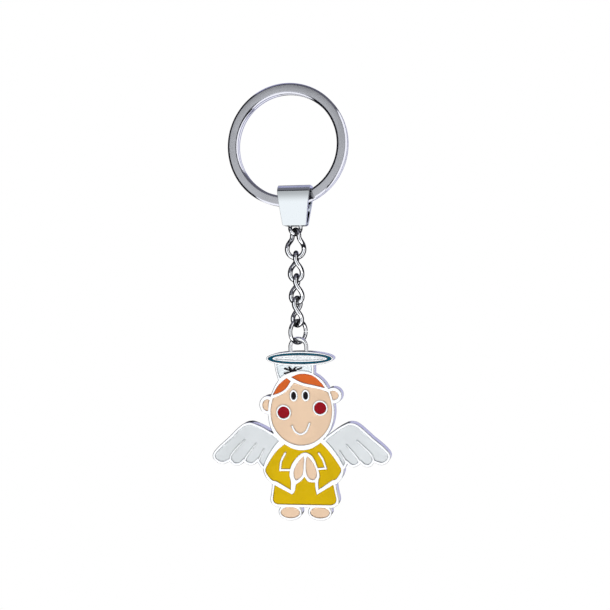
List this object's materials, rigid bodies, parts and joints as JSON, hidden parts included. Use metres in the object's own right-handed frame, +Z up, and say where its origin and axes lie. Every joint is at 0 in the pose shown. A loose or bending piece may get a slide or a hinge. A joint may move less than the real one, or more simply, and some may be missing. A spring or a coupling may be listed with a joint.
{
  "type": "keychain",
  "caption": "Keychain with a flat split ring, a folded nickel clip, a short twisted-link chain and a cast metal angel charm filled with coloured enamel.",
  "frame": {"origin": "inner top of the split ring, where a hook or finger holds the keychain", "axes": "+Z up, towards the ring's top from the hanging charm; -Y is the charm's enamelled front; +X is to the viewer's right"},
  "size_m": [0.0447, 0.0055, 0.107],
  "materials": {
    "ring_steel": "satin",
    "bright_nickel": "gloss",
    "chain_nickel": "gloss",
    "cast_nickel": "gloss",
    "skin_enamel": "gloss",
    "hair_enamel": "gloss",
    "robe_enamel": "gloss",
    "teal_enamel": "gloss",
    "red_enamel": "gloss",
    "black_enamel": "gloss",
    "pearl_enamel": "gloss"
  },
  "bodies": {
    "ring": {"key_ring": "ring_steel"},
    "clip": {"ring_clip": "bright_nickel", "clip_pin": "bright_nickel"},
    "connector": {"connector_loop": "bright_nickel"},
    "link_1": {"chain_link_1": "chain_nickel"},
    "link_2": {"chain_link_2": "chain_nickel"},
    "link_3": {"chain_link_3": "chain_nickel"},
    "link_4": {"chain_link_4": "chain_nickel"},
    "jump": {"jump_ring": "bright_nickel"},
    "charm": {"charm_base": "cast_nickel", "enamel_face": "skin_enamel", "enamel_hair_right": "hair_enamel", "enamel_hair_left": "hair_enamel", "enamel_ear_left": "skin_enamel", "enamel_ear_right": "skin_enamel", "enamel_eye_left": "black_enamel", "enamel_eye_right": "black_enamel", "enamel_cheek_left": "red_enamel", "enamel_cheek_right": "red_enamel", "enamel_halo_band": "teal_enamel", "enamel_halo_centre": "pearl_enamel", "enamel_halo_panel": "pearl_enamel", "enamel_wing_left": "pearl_enamel", "enamel_wing_right": "pearl_enamel", "enamel_sleeves": "robe_enamel", "enamel_skirt": "robe_enamel", "enamel_hand_left": "skin_enamel", "enamel_hand_right": "skin_enamel", "enamel_foot_left": "skin_enamel", "enamel_foot_right": "skin_enamel", "enamel_tuft": "black_enamel"}
  },
  "joints": [
    {"name": "clip_swing", "type": "hinge", "parent": "ring", "child": "clip", "pos_m": [0.002, 0, -0.02515], "axis": [1, 0, 0], "range_deg": [-14, 14]},
    {"name": "connector_sway", "type": "hinge", "parent": "clip", "child": "connector", "pos_m": [0.002, 0, -0.0305], "axis": [0, 1, 0], "range_deg": [-8, 8]},
    {"name": "link_1_swing", "type": "hinge", "parent": "connector", "child": "link_1", "pos_m": [0.002, 0, -0.03415], "axis": [0.766, 0.6428, 0], "range_deg": [-25, 25]},
    {"name": "link_2_sway", "type": "hinge", "parent": "link_1", "child": "link_2", "pos_m": [0.00215, 0, -0.03859], "axis": [0.1045, -0.9945, 0], "range_deg": [-25, 25]},
    {"name": "link_3_swing", "type": "hinge", "parent": "link_2", "child": "link_3", "pos_m": [0.00215, 0, -0.04539], "axis": [1, 0, 0], "range_deg": [-30, 30]},
    {"name": "link_4_sway", "type": "hinge", "parent": "link_3", "child": "link_4", "pos_m": [0.00245, 0, -0.04967], "axis": [-0.309, -0.9511, 0], "range_deg": [-25, 25]},
    {"name": "jump_ring_swing", "type": "hinge", "parent": "link_4", "child": "jump", "pos_m": [0.00245, 0, -0.05647], "axis": [0.866, -0.5, 0], "range_deg": [-25, 25]},
    {"name": "charm_swing", "type": "hinge", "parent": "jump", "child": "charm", "pos_m": [0.0027, 0, -0.05965], "axis": [1, 0, 0], "range_deg": [-28, 28]}
  ]
}
